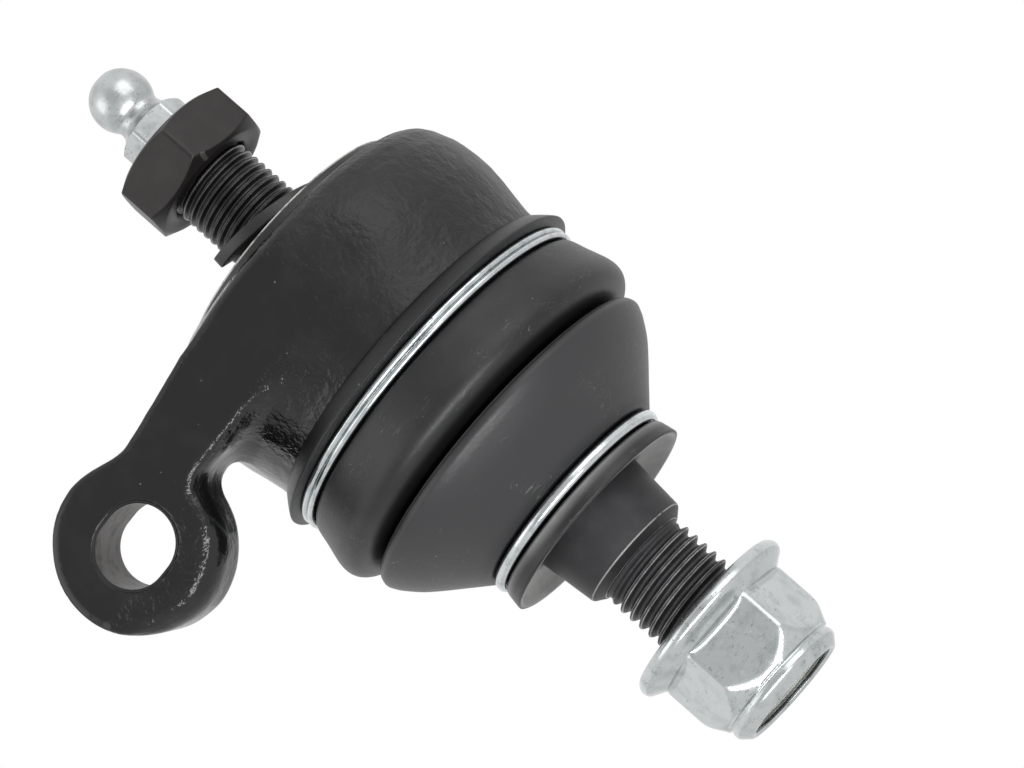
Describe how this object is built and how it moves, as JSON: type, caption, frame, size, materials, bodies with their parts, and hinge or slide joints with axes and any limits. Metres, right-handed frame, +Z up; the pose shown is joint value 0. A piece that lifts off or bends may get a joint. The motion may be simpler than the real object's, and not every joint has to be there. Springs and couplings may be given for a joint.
{
  "type": "suspension ball joint",
  "caption": "Suspension ball joint: black forged housing with side lug and threaded top stub, rubber dust boot, swivelling tapered stud with a flange lock nut.",
  "frame": {"origin": "Centre of the ball, in the middle of the housing.", "axes": "+Z runs up the axis of the joint, through the threaded stub to the grease nipple; the tapered stud points down. The side lug points towards -X and its bolt slot runs along Y, with the flat front face of the lug towards -Y."},
  "size_m": [0.0607, 0.0424, 0.0979],
  "materials": {
    "black_gloss_paint": "gloss black paint on a rough forging",
    "black_oxide": "satin black oxide",
    "zinc_plate": "bright zinc plate",
    "phosphate_steel": "dark phosphate",
    "ball_steel": "ground and polished",
    "spring_steel": "plain spring steel",
    "boot_rubber": "matt dark grey rubber",
    "seat_plastic": "natural acetal",
    "insert_nylon": "natural nylon"
  },
  "bodies": {
    "housing": {"forged_housing": "black_gloss_paint", "stub_cover": "black_oxide", "nipple_body": "zinc_plate", "nipple_spring": "spring_steel", "preload_disc_spring": "spring_steel", "upper_bearing_seat": "seat_plastic", "lower_bearing_seat": "seat_plastic", "large_clamp_ring": "zinc_plate"},
    "boot": {"dust_boot": "boot_rubber"},
    "boot_clamp": {"small_clamp_ring": "zinc_plate"},
    "stud": {"ball_stud": "phosphate_steel"},
    "lock_nut": {"lock_nut": "zinc_plate", "nylon_insert": "insert_nylon"},
    "jam_nut": {"jam_nut": "black_oxide"},
    "spring_washer": {"spring_washer": "black_oxide"},
    "nipple_valve": {"nipple_check_ball": "ball_steel"}
  },
  "joints": [
    {"name": "swing_sideways", "type": "hinge", "parent": "housing", "child": "boot", "pos_m": [0, 0, 0], "axis": [0, 1, 0], "range_deg": [-18, 18], "deforming": ["dust_boot"]},
    {"name": "swing_fore_aft", "type": "hinge", "parent": "boot", "child": "boot_clamp", "pos_m": [0, 0, 0], "axis": [1, 0, 0], "range_deg": [-18, 18]},
    {"name": "stud_spin", "type": "hinge", "parent": "boot_clamp", "child": "stud", "pos_m": [0, 0, 0], "axis": [0, 0, 1], "continuous": true},
    {"name": "lock_nut_turn", "type": "hinge", "parent": "stud", "child": "lock_nut", "pos_m": [0, 0, 0], "axis": [0, 0, 1], "continuous": true},
    {"name": "jam_nut_turn", "type": "hinge", "parent": "housing", "child": "jam_nut", "pos_m": [0, 0, 0], "axis": [0, 0, 1], "continuous": true},
    {"name": "washer_slide", "type": "slide", "parent": "housing", "child": "spring_washer", "axis": [0, 0, 1], "range_m": [0, 0.0054]},
    {"name": "nipple_valve_press", "type": "slide", "parent": "housing", "child": "nipple_valve", "axis": [0, 0, -1], "range_m": [0, 0.0007], "stiffness_N_per_m": 250, "springref_m": -0.0004, "deforming": ["nipple_spring"]}
  ]
}
